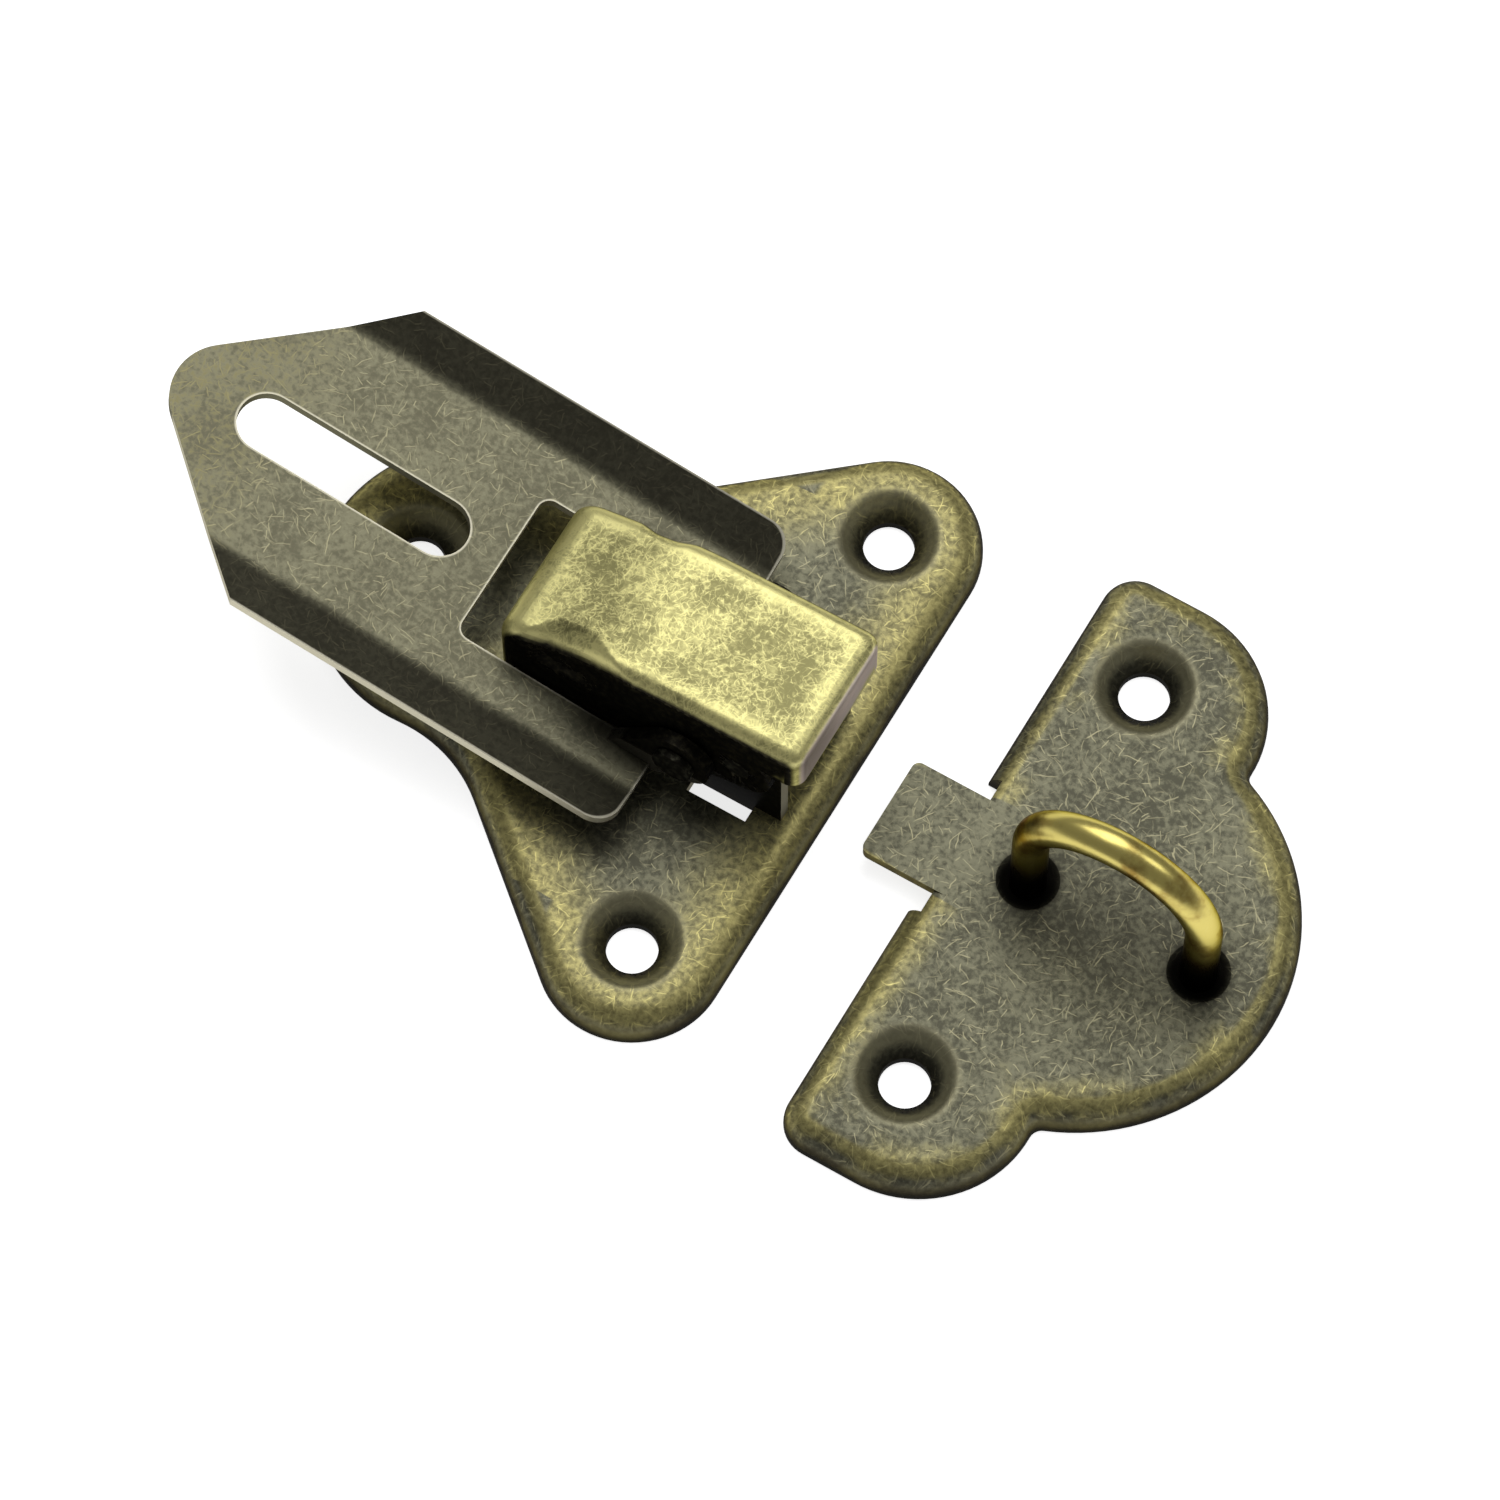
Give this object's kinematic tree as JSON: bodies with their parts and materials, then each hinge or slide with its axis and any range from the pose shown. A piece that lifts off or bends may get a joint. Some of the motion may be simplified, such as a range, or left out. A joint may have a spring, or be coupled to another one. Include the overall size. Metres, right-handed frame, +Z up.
{
  "type": "toggle latch",
  "caption": "Stamped sheet toggle latch in antique brass: a finger lever swings a slotted hasp over the wire staple of a separate striker plate, with screw holes in both plates.",
  "frame": {"origin": "midway between the two front screw holes of the base plate, on the mounting plane", "axes": "+X from the latch half to the striker half, +Y across along the front edge, +Z up from the mounting plane"},
  "size_m": [0.0747, 0.0416, 0.0146],
  "materials": {
    "plate_sheet": "dark antique brass plating, brushed through on the rims",
    "hasp_sheet": "dark antique brass plating with bright cut edges",
    "lever_sheet": "antique brass plating, polished bright and mottled",
    "staple_wire": "golden antique brass wire",
    "pin_wire": "dark antique brass"
  },
  "bodies": {
    "mounted_plates": {"base_plate": "plate_sheet", "lever_pin": "pin_wire", "striker_plate": "plate_sheet", "staple": "staple_wire"},
    "lever": {"lever": "lever_sheet"},
    "hasp_pin": {"hasp_pin": "pin_wire"},
    "hasp": {"hasp": "hasp_sheet"}
  },
  "joints": [
    {"name": "lever_lift", "type": "hinge", "parent": "mounted_plates", "child": "lever", "pos_m": [0.0011, 0, 0.0084], "axis": [0, 1, 0], "range_deg": [0, 60]},
    {"name": "hasp_pin_turn", "type": "hinge", "parent": "lever", "child": "hasp_pin", "pos_m": [-0.0024, 0, 0.0074], "axis": [0, 1, 0], "range_deg": [-60, 0]},
    {"name": "hasp_swing", "type": "hinge", "parent": "hasp_pin", "child": "hasp", "pos_m": [-0.0024, 0, 0.0074], "axis": [0, 1, 0], "range_deg": [0, 180]}
  ],
  "couplings": [
    {"joint": "hasp_pin_turn", "follows": "lever_lift", "ratio": -1}
  ]
}
